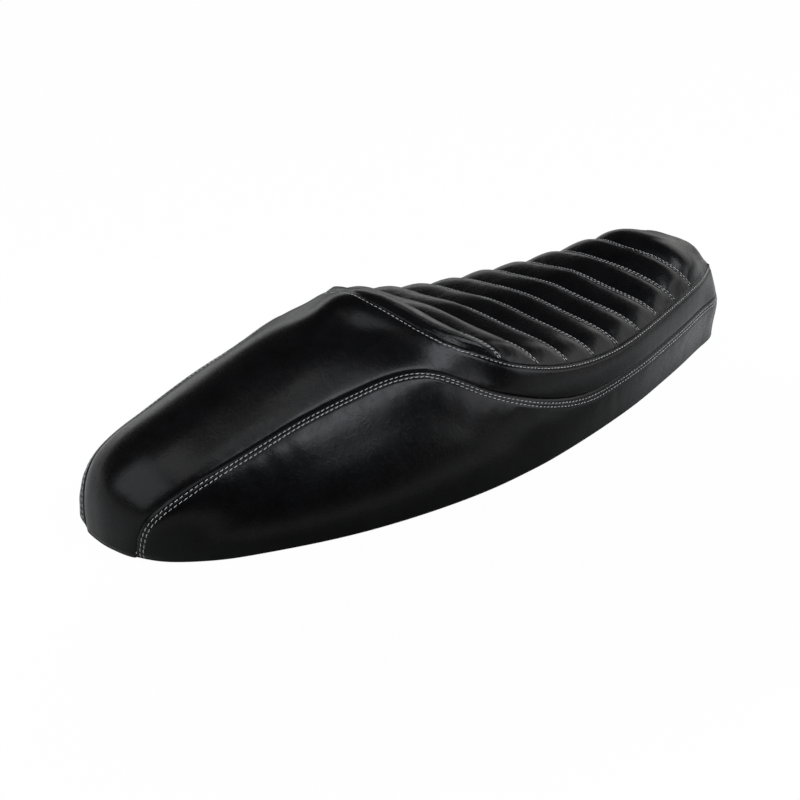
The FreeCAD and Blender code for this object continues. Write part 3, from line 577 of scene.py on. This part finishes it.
def spotsOn(sheet, line, sideways, offset, pitch):  # stitch places beside a seam line, laid on the leather
    guess = line + sideways * offset
    laid, normals = [], []
    for p in guess:
        _, place, n, _ = sheet.closest_point_on_mesh(Vector(p) / 1000)
        laid.append(np.array(place) * 1000)
        normals.append(np.array(n))
    laid, normals = np.array(laid), np.array(normals)
    run = lengthAlong(laid)
    stops = np.arange(pitch / 2, run[-1], pitch)
    spots = []
    for stop in stops:
        i = min(np.searchsorted(run, stop), len(laid) - 1)
        along = unit(laid[min(i + 2, len(laid) - 1)] - laid[max(i - 3, 0)])
        n = unit(normals[max(i - 2, 0):i + 3].mean(axis=0))
        n = unit(n - along * (n @ along))
        share = (stop - run[i - 1]) / max(run[i] - run[i - 1], 1e-6)
        spots.append((laid[i - 1] + (laid[i] - laid[i - 1]) * share, along, n))
    return spots


def sideSpots(sheet, side, row):
    s = stitches["side"]
    t = np.linspace(s["start"], front, s["samples"])
    line = seamAt(t)
    along = unit(np.gradient(line, axis=0))
    outward = outwardAt(np.maximum(t, tail + 1)) + (0, 0, s["tilt"])
    sideways = unit(np.cross(along, outward))
    sideways *= np.sign(sideways @ np.array(s["towards"]))[:, None]
    mirror = np.array([1, side, 1])
    return spotsOn(sheet, line * mirror, sideways * mirror, row, s["pitch"])


def collarSpots(sheet):
    along = unit(np.roll(padOutline, -3, axis=0) - np.roll(padOutline, 3, axis=0))
    sideways = unit(np.cross((0, 0, 1), along))
    return spotsOn(sheet, padOutline, sideways, rearPanel["stitchRow"], stitches["collar"]["pitch"])


def channelSpots(table, grooves):
    s = stitches["channel"]
    run, n = runDown(table), normalsOf(table)
    spots = []
    for row in grooves:
        for offset in (-s["apart"], s["apart"]):
            place, normal = [], []
            for j in range(table.shape[1]):
                near = slice(row - s["rows"], row + s["rows"] + 1)
                stop = run[row, j] + offset
                place.append([np.interp(stop, run[near, j], table[near, j, k]) for k in range(3)])
                normal.append([np.interp(stop, run[near, j], n[near, j, k]) for k in range(3)])
            place, normal = np.array(place), np.array(normal)
            along = lengthAlong(place)
            count = int((along[-1] - 2 * s["clear"]) / s["pitch"])
            margin = (along[-1] - (count - 1) * s["pitch"]) / 2
            for stop in margin + s["pitch"] * np.arange(count):
                p, q = (np.array([np.interp(stop + e, along, place[:, k]) for k in range(3)])
                        for e in (-s["reach"], s["reach"]))
                direction = unit(q - p)
                up = np.array([np.interp(stop, along, normal[:, k]) for k in range(3)])
                spots.append(((p + q) / 2, direction, unit(up - direction * (up @ direction))))
    return spots


# Materials.
def newGroup(name, inputs):
    group = bpy.data.node_groups.new(name, "ShaderNodeTree")
    group.interface.new_socket("Place", in_out="INPUT", socket_type="NodeSocketVector")
    for label in inputs:
        group.interface.new_socket(label, in_out="INPUT", socket_type="NodeSocketFloat")
    for label in ("Height", "Gloss", "Tone"):
        group.interface.new_socket(label, in_out="OUTPUT", socket_type="NodeSocketFloat")
    return group, group.nodes.new("NodeGroupInput"), group.nodes.new("NodeGroupOutput")


def addNode(tree, kind, settings=None, **inputs):
    node = tree.nodes.new(kind)
    for key, value in (settings or {}).items():
        setattr(node, key, value)
    for key, value in inputs.items():
        numbered = key[0] == "i" and key[1:].isdigit()
        socket = node.inputs[int(key[1:]) if numbered else key.replace("_", " ")]
        if isinstance(value, bpy.types.NodeSocket):
            tree.links.new(value, socket)
        else:
            socket.default_value = value
    return node


grain = {"creaseHeight": 1.6, "poreHeight": 0.45, "tone": (0.3, 0.72), "gloss": (0.3, 0.7)}


def hideSurface():  # pores, fine creases and mottling of dressed leather
    group, given, out = newGroup("hideSurface", ("Pores", "Creases", "Mottle"))
    place = given.outputs["Place"]
    pores = addNode(group, "ShaderNodeTexVoronoi", {"feature": "SMOOTH_F1"}, Vector=place,
                    Scale=given.outputs["Pores"])
    creases = addNode(group, "ShaderNodeTexNoise", None, Vector=place, Scale=given.outputs["Creases"],
                      Detail=2.5, Roughness=0.5, Distortion=1.2)
    mottle = addNode(group, "ShaderNodeTexNoise", None, Vector=place, Scale=given.outputs["Mottle"],
                     Detail=3.0, Roughness=0.55)
    ridges = addNode(group, "ShaderNodeMath", {"operation": "MULTIPLY"}, i0=creases.outputs["Fac"],
                     i1=grain["creaseHeight"])
    height = addNode(group, "ShaderNodeMath", {"operation": "MULTIPLY_ADD"}, i0=pores.outputs["Distance"],
                     i1=grain["poreHeight"], i2=ridges.outputs[0])
    group.links.new(height.outputs[0], out.inputs["Height"])
    group.links.new(creases.outputs["Fac"], out.inputs["Gloss"])
    group.links.new(mottle.outputs["Fac"], out.inputs["Tone"])
    return group


def workedSurface():  # unevenness of moulded, plated and cut surfaces
    group, given, out = newGroup("workedSurface", ("Grain", "Patches"))
    place = given.outputs["Place"]
    fine = addNode(group, "ShaderNodeTexNoise", None, Vector=place, Scale=given.outputs["Grain"], Detail=2.0)
    patches = addNode(group, "ShaderNodeTexNoise", None, Vector=place, Scale=given.outputs["Patches"],
                      Detail=5.0, Roughness=0.62)
    both = addNode(group, "ShaderNodeMath", {"operation": "MULTIPLY"}, i0=fine.outputs["Fac"],
                   i1=patches.outputs["Fac"])
    group.links.new(fine.outputs["Fac"], out.inputs["Height"])
    group.links.new(patches.outputs["Fac"], out.inputs["Gloss"])
    group.links.new(both.outputs[0], out.inputs["Tone"])
    return group


def newMaterial(name):
    material = bpy.data.materials.new(name)
    material.use_nodes = True
    return material, material.node_tree, material.node_tree.nodes["Principled BSDF"]


def surfaced(name, group, values, colours, roughness, bump, depth, **fixed):
    material, tree, shader = newMaterial(name)
    for label, value in fixed.items():
        shader.inputs[label.replace("_", " ")].default_value = value
    where = addNode(tree, "ShaderNodeTexCoord")
    surface = addNode(tree, "ShaderNodeGroup", {"node_tree": group}, Place=where.outputs["Object"], **values)
    tone = addNode(tree, "ShaderNodeValToRGB", None, Fac=surface.outputs["Tone"])
    ramp = tone.color_ramp.elements
    ramp[0].position, ramp[1].position = grain["tone"]
    ramp[0].color, ramp[1].color = (*colours[0], 1), (*colours[1], 1)
    gloss = addNode(tree, "ShaderNodeMapRange", None, Value=surface.outputs["Gloss"],
                    From_Min=grain["gloss"][0], From_Max=grain["gloss"][1],
                    To_Min=roughness[0], To_Max=roughness[1])
    relief = addNode(tree, "ShaderNodeBump", None, Strength=bump, Distance=depth,
                     Height=surface.outputs["Height"])
    tree.links.new(tone.outputs["Color"], shader.inputs["Base Color"])
    tree.links.new(gloss.outputs["Result"], shader.inputs["Roughness"])
    tree.links.new(relief.outputs["Normal"], shader.inputs["Normal"])
    return material


leather = {
    "grain": {"Pores": 900.0, "Creases": 170.0, "Mottle": 45.0}, "roughness": (0.22, 0.29), "bump": 0.1,
    "colours": ((0.0016, 0.0016, 0.0018), (0.0034, 0.0034, 0.0038)), "depth": 0.0006, "specular": 0.145,
    "dullFrom": 0.82, "dulling": 0.35,
}


def dressed(material):  # the dressing is duller where the leather is seen edge on
    tree = material.node_tree
    shader = tree.nodes["Principled BSDF"]
    slope = addNode(tree, "ShaderNodeLayerWeight", None, Blend=0.5)
    worn = addNode(tree, "ShaderNodeMapRange", None, Value=slope.outputs["Facing"],
                   From_Min=leather["dullFrom"], From_Max=1.0, To_Min=0.0, To_Max=leather["dulling"])
    plain = shader.inputs["Roughness"].links[0].from_socket
    rough = addNode(tree, "ShaderNodeMath", {"operation": "ADD", "use_clamp": True}, i0=plain,
                    i1=worn.outputs["Result"])
    tree.links.new(rough.outputs[0], shader.inputs["Roughness"])


thread = {"colours": ((0.34, 0.34, 0.345), (0.6, 0.6, 0.605)), "turn": 0.6, "twists": 2.6, "fuzz": 0.6,
          "bump": 0.5, "depth": 0.0002, "roughness": 0.62, "sheen": 0.15}


def threadFinish():
    s = thread
    material, tree, shader = newMaterial("paleThread")
    where = addNode(tree, "ShaderNodeTexCoord")
    turned = addNode(tree, "ShaderNodeMapping", None, Vector=where.outputs["UV"], Rotation=(0, 0, s["turn"]))
    twist = addNode(tree, "ShaderNodeTexWave", None, Vector=turned.outputs["Vector"], Scale=s["twists"],
                    Distortion=s["fuzz"])
    tone = addNode(tree, "ShaderNodeValToRGB", None, Fac=twist.outputs["Fac"])
    for stop, colour in zip(tone.color_ramp.elements, s["colours"]):
        stop.color = (*colour, 1)
    relief = addNode(tree, "ShaderNodeBump", None, Strength=s["bump"], Distance=s["depth"],
                     Height=twist.outputs["Fac"])
    tree.links.new(tone.outputs["Color"], shader.inputs["Base Color"])
    tree.links.new(relief.outputs["Normal"], shader.inputs["Normal"])
    shader.inputs["Roughness"].default_value = s["roughness"]
    shader.inputs["Sheen Weight"].default_value = s["sheen"]
    return material


leatherGrain, workedGrain = hideSurface(), workedSurface()
leatherFinish = surfaced("blackLeather", leatherGrain, leather["grain"], leather["colours"],
                         leather["roughness"], leather["bump"], leather["depth"],
                         Specular_IOR_Level=leather["specular"])
dressed(leatherFinish)
threadPaint = threadFinish()
nodeFinishes = {
    "seat_foam": surfaced("seatFoam", workedGrain, {"Grain": 420.0, "Patches": 25.0},
                          ((0.5, 0.42, 0.24), (0.66, 0.58, 0.38)), (0.85, 0.98), 0.9, 0.002),
    "seat_pan": surfaced("mouldedPan", workedGrain, {"Grain": 1400.0, "Patches": 30.0},
                         ((0.012, 0.012, 0.013), (0.03, 0.03, 0.032)), (0.42, 0.62), 0.35, 0.0004),
    "buffer": surfaced("bufferRubber", workedGrain, {"Grain": 900.0, "Patches": 60.0},
                       ((0.01, 0.01, 0.01), (0.035, 0.034, 0.033)), (0.68, 0.88), 0.3, 0.0004),
    "plated": surfaced("zincPlating", workedGrain, {"Grain": 700.0, "Patches": 55.0},
                       ((0.5, 0.49, 0.46), (0.72, 0.71, 0.68)), (0.24, 0.46), 0.12, 0.0003, Metallic=1.0),
    "rivet": surfaced("rivetAlloy", workedGrain, {"Grain": 800.0, "Patches": 120.0},
                      ((0.62, 0.62, 0.63), (0.82, 0.82, 0.83)), (0.28, 0.42), 0.15, 0.0002, Metallic=1.0),
}
nodeWords = (("buffer", "buffer"), ("rivet", "rivet"),
             ("hook", "plated"), ("strap", "plated"), ("bush", "plated"))


def finishNodes():
    for name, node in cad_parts.items():
        kind = next((kind for word, kind in nodeWords if word in name), name)
        if kind in nodeFinishes:
            node.data.materials.clear()
            node.data.materials.append(nodeFinishes[kind])


panel = buildRearPanel()
print("rear panel", len(panel.data.polygons))
insert, insertSurface, grooveRows = buildInsert()
print("insert", len(insert.data.polygons))
leftSkirt = buildSkirt("leftSkirtLeather", 1)
rightSkirt = buildSkirt("rightSkirtLeather", -1)
print("skirts", len(leftSkirt.data.polygons))
template = modelStitch()
sideRows = []
for sheet, side in ((leftSkirt, 1), (rightSkirt, -1)):
    for row in skirts["stitchRows"]:
        sideRows += sideSpots(sheet, side, row)
copyStitches("sideSeamStitches", template, sideRows, "side", threadPaint)
copyStitches("collarStitches", template, collarSpots(panel), "collar", threadPaint)
copyStitches("channelStitches", template, channelSpots(insertSurface, grooveRows), "channel", threadPaint)
bpy.data.objects.remove(template)
for piece, node, wall in (
        (panel, "rear_panel", rearPanel["wall"]), (insert, "ribbed_insert", ribbedInsert["wall"]),
        (leftSkirt, "left_skirt", skirts["wall"]), (rightSkirt, "right_skirt", skirts["wall"])):
    thickened(piece, wall)
    piece.data.materials.clear()
    piece.data.materials.append(leatherFinish)
    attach(piece, "root")
    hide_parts(node)
finishNodes()

# Floor, light and camera.
studio = {
    # paper is the floor's own colour; shade, shadeCentre, shadeReach and shadeSpan paint a shadow of the seat
    # onto it, darkest beside the seat's near side
    "floorSize": 14.0, "floorDrop": 0.0005, "floorRoughness": 0.9, "paper": 0.86, "shade": 0.12,
    "shadeCentre": (-0.1, -0.25, 0), "shadeReach": (0.36, 0.2, 1), "shadeSpan": (0.6, 1.7),
    "whiteShare": 0.985, "mirrorShare": 0.1, "ambient": 0.2,
    "bandLow": 0.02, "bandHigh": 0.22, "ceiling": 0.03,
    "lamps": (
        ("keyLamp", (0.283, -0.531, 0.799), 1.5, (1.1, 0.36), 10.4, (0.88, 0.935, 1.0)),
        ("stripLamp", (0.027, -0.308, 0.951), 1.5, (0.3, 0.7), 2.2, (0.97, 0.98, 1.0)),
        ("overheadLamp", (-0.309, 0.0, 0.951), 1.5, (0.9, 0.62), 3.8, (0.97, 0.98, 1.0)),
        ("rearLamp", (-0.765, 0.191, 0.616), 1.8, (1.5, 1.45), 17.5, (0.95, 0.97, 1.0)),
        ("lowLamp", (0.641, -0.641, 0.423), 1.6, (0.9, 0.62), 5.5, (0.96, 0.97, 1.0)),
        ("frontLamp", (0.927, 0.0, 0.375), 1.7, (1.5, 0.7), 5.0, (1.0, 0.985, 0.97)),
    ),
    "aim": (0, 0, 0.07),
}
cameraView = {
    "azimuth": -45.06, "elevation": 23.1, "roll": 1.21, "distance": 1.79876, "target": (-0.001, 0, 0.05),
    "focalPixels": 1972.79, "centre": (431.76, 368.26), "pixels": 800, "sensor": 36, "clipEnd": 50,
}


def mirrorRays(tree):  # the light path, and 1 for the rays of reflections and glass
    rays = addNode(tree, "ShaderNodeLightPath")
    mirrored = addNode(tree, "ShaderNodeMath", {"operation": "ADD", "use_clamp": True},
                       i0=rays.outputs["Is Glossy Ray"], i1=rays.outputs["Is Transmission Ray"])
    return rays, mirrored


def buildFloor():
    bpy.ops.object.select_all(action="DESELECT")
    bpy.ops.mesh.primitive_plane_add(size=studio["floorSize"], location=(0, 0, -studio["floorDrop"]))
    floor = bpy.context.object
    floor.name = "studioFloor"
    bpy.ops.object.transform_apply(location=True, rotation=True, scale=True)
    material, tree, shader = newMaterial("studioFloor")
    # Painted shadow: the floor's colour falls from paper white to dark grey round a patch beside the seat's
    # near side, seen mostly in the leather's reflections.
    where = addNode(tree, "ShaderNodeTexCoord")
    moved = addNode(tree, "ShaderNodeVectorMath", {"operation": "SUBTRACT"}, i0=where.outputs["Object"],
                    i1=studio["shadeCentre"])
    scaled = addNode(tree, "ShaderNodeVectorMath", {"operation": "DIVIDE"}, i0=moved.outputs[0],
                     i1=studio["shadeReach"])
    away = addNode(tree, "ShaderNodeVectorMath", {"operation": "LENGTH"}, i0=scaled.outputs[0])
    tone = addNode(tree, "ShaderNodeMapRange", {"interpolation_type": "SMOOTHSTEP"},
                   Value=away.outputs["Value"], From_Min=studio["shadeSpan"][0],
                   From_Max=studio["shadeSpan"][1], To_Min=studio["shade"], To_Max=studio["paper"])
    tree.links.new(tone.outputs["Result"], shader.inputs["Base Color"])
    shader.inputs["Roughness"].default_value = studio["floorRoughness"]
    rays, mirrored = mirrorRays(tree)
    mirrored = addNode(tree, "ShaderNodeMath", {"operation": "MULTIPLY"}, i0=mirrored.outputs[0],
                       i1=studio["mirrorShare"])
    share = addNode(tree, "ShaderNodeMath", {"operation": "MULTIPLY_ADD", "use_clamp": True},
                    i0=rays.outputs["Is Camera Ray"], i1=studio["whiteShare"], i2=mirrored.outputs[0])
    white = addNode(tree, "ShaderNodeEmission", None, Strength=1.0)
    mixed = addNode(tree, "ShaderNodeMixShader", None, i0=share.outputs[0], i1=shader.outputs[0],
                    i2=white.outputs[0])
    tree.links.new(mixed.outputs[0], tree.nodes["Material Output"].inputs["Surface"])
    floor.data.materials.append(material)


def buildWorld():  # a white sweep round the seat under a dark ceiling
    world = bpy.data.worlds.new("studio")
    bpy.context.scene.world = world
    world.use_nodes = True
    tree = world.node_tree
    sky = tree.nodes["Background"]
    where = addNode(tree, "ShaderNodeTexCoord")
    height = addNode(tree, "ShaderNodeSeparateXYZ", None, Vector=where.outputs["Generated"])
    band = addNode(tree, "ShaderNodeMapRange", {"interpolation_type": "SMOOTHSTEP"},
                   Value=height.outputs["Z"], From_Min=studio["bandLow"], From_Max=studio["bandHigh"],
                   To_Min=1.0, To_Max=studio["ceiling"])
    rays, mirrored = mirrorRays(tree)
    plain = addNode(tree, "ShaderNodeMix", None, Factor=mirrored.outputs[0], A=studio["ambient"],
                    B=band.outputs["Result"])
    strength = addNode(tree, "ShaderNodeMath", {"operation": "MAXIMUM"}, i0=plain.outputs["Result"],
                       i1=rays.outputs["Is Camera Ray"])
    tree.links.new(strength.outputs[0], sky.inputs["Strength"])
    sky.inputs["Color"].default_value = (1, 1, 1, 1)


def buildLamps():
    for name, direction, distance, size, power, colour in studio["lamps"]:
        bpy.ops.object.light_add(type="AREA")
        lamp = bpy.context.object
        lamp.name = name
        away = Vector(direction).normalized()
        lamp.location = Vector(studio["aim"]) + away * distance
        lamp.rotation_euler = away.to_track_quat("Z", "Y").to_euler()
        lamp.data.shape = "RECTANGLE"
        lamp.data.size, lamp.data.size_y = size
        lamp.data.energy = power
        lamp.data.color = colour


def buildCamera():
    s = cameraView
    a, e, r = (math.radians(s[k]) for k in ("azimuth", "elevation", "roll"))
    back = Vector((math.sin(a) * math.cos(e), -math.cos(a) * math.cos(e), math.sin(e)))
    right = Vector((math.cos(a), math.sin(a), 0))
    up = back.cross(right)
    right, up = right * math.cos(r) + up * math.sin(r), up * math.cos(r) - right * math.sin(r)
    bpy.ops.object.camera_add()
    camera = bpy.context.object
    turn = Matrix((right, up, back)).transposed().to_4x4()
    camera.matrix_world = Matrix.Translation(Vector(s["target"]) + back * s["distance"]) @ turn
    camera.data.sensor_width = s["sensor"]
    camera.data.lens = s["focalPixels"] / s["pixels"] * s["sensor"]
    camera.data.shift_x = (s["pixels"] / 2 - s["centre"][0]) / s["pixels"]
    camera.data.shift_y = (s["centre"][1] - s["pixels"] / 2) / s["pixels"]
    camera.data.clip_end = s["clipEnd"]
    bpy.context.scene.camera = camera


buildFloor()
buildWorld()
buildLamps()
buildCamera()
bpy.context.scene.view_settings.view_transform = "Standard"
print("studio ready")
